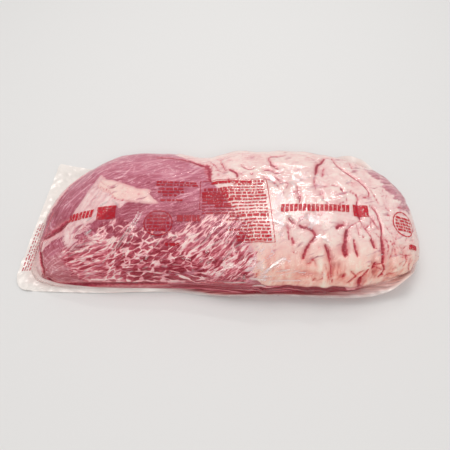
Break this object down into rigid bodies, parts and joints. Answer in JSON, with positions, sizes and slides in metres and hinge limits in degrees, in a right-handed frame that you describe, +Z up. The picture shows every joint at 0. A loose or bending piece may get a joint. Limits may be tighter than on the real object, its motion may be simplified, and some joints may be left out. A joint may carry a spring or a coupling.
{
  "type": "vacuum-packed raw beef flat iron",
  "caption": "Long rounded slab of raw beef, lean and marbled at the left and fat-capped at the right, shrink-sealed in a clear film bag with a flat tail.",
  "frame": {"origin": "on the surface it lies on, under the middle of the whole bag's box", "axes": "+X along the cut from the closed tail and lean end to the fat end, -Y the near long side with the rolled edge, +Z up"},
  "size_m": [0.397, 0.1764, 0.0544],
  "materials": {
    "film": "gloss",
    "meat": "satin",
    "print": "gloss"
  },
  "bodies": {
    "root": {"sealed_bag": "film"}
  },
  "joints": []
}
